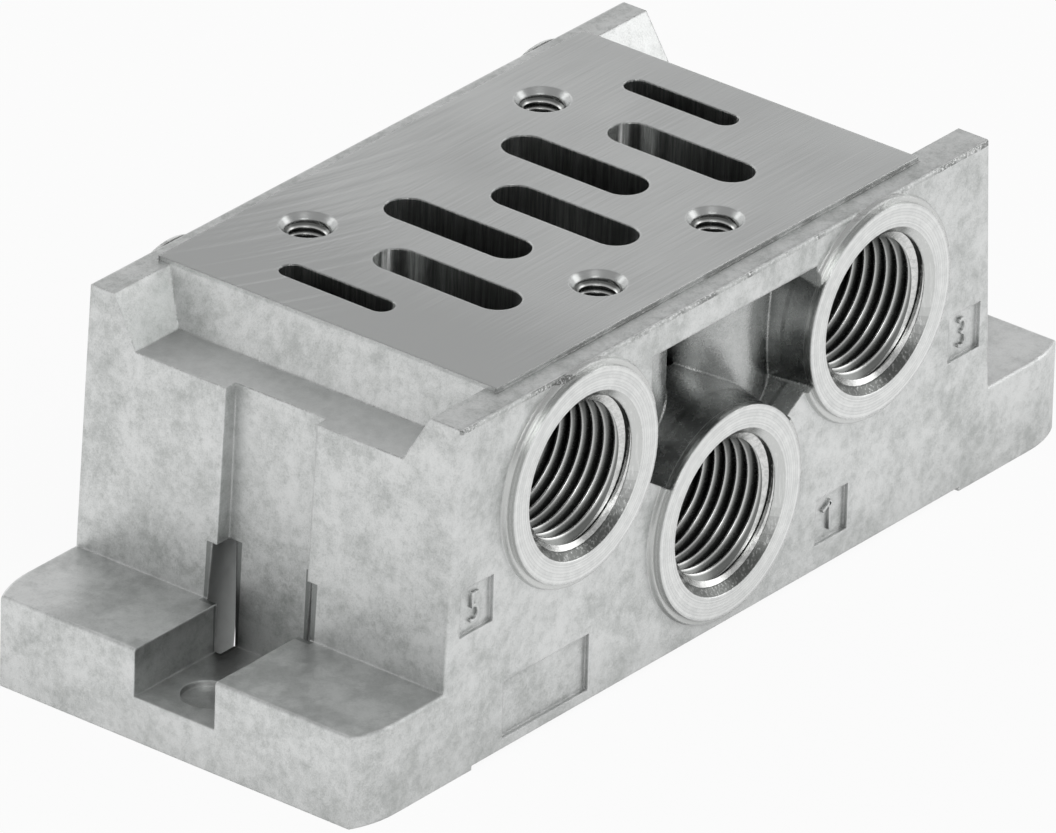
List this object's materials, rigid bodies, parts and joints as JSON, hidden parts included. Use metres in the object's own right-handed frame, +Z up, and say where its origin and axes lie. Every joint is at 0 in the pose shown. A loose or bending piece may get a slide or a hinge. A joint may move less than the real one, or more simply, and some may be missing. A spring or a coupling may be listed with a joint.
{
  "type": "pneumatic valve subbase",
  "caption": "Cast subbase for a five-port pneumatic valve: slotted top face with tapped holes, threaded air ports in front and behind, and a foot at each end.",
  "frame": {"origin": "on the ground under the middle of the casting, between the two feet", "axes": "+Z up, +X along the length towards port 3, -Y out of the front face with ports 5, 1 and 3"},
  "size_m": [0.146, 0.0636, 0.0505],
  "materials": {
    "cast_metal": "satin die-cast skin with brushed machined faces"
  },
  "bodies": {
    "root": {"subbase": "cast_metal"}
  },
  "joints": []
}
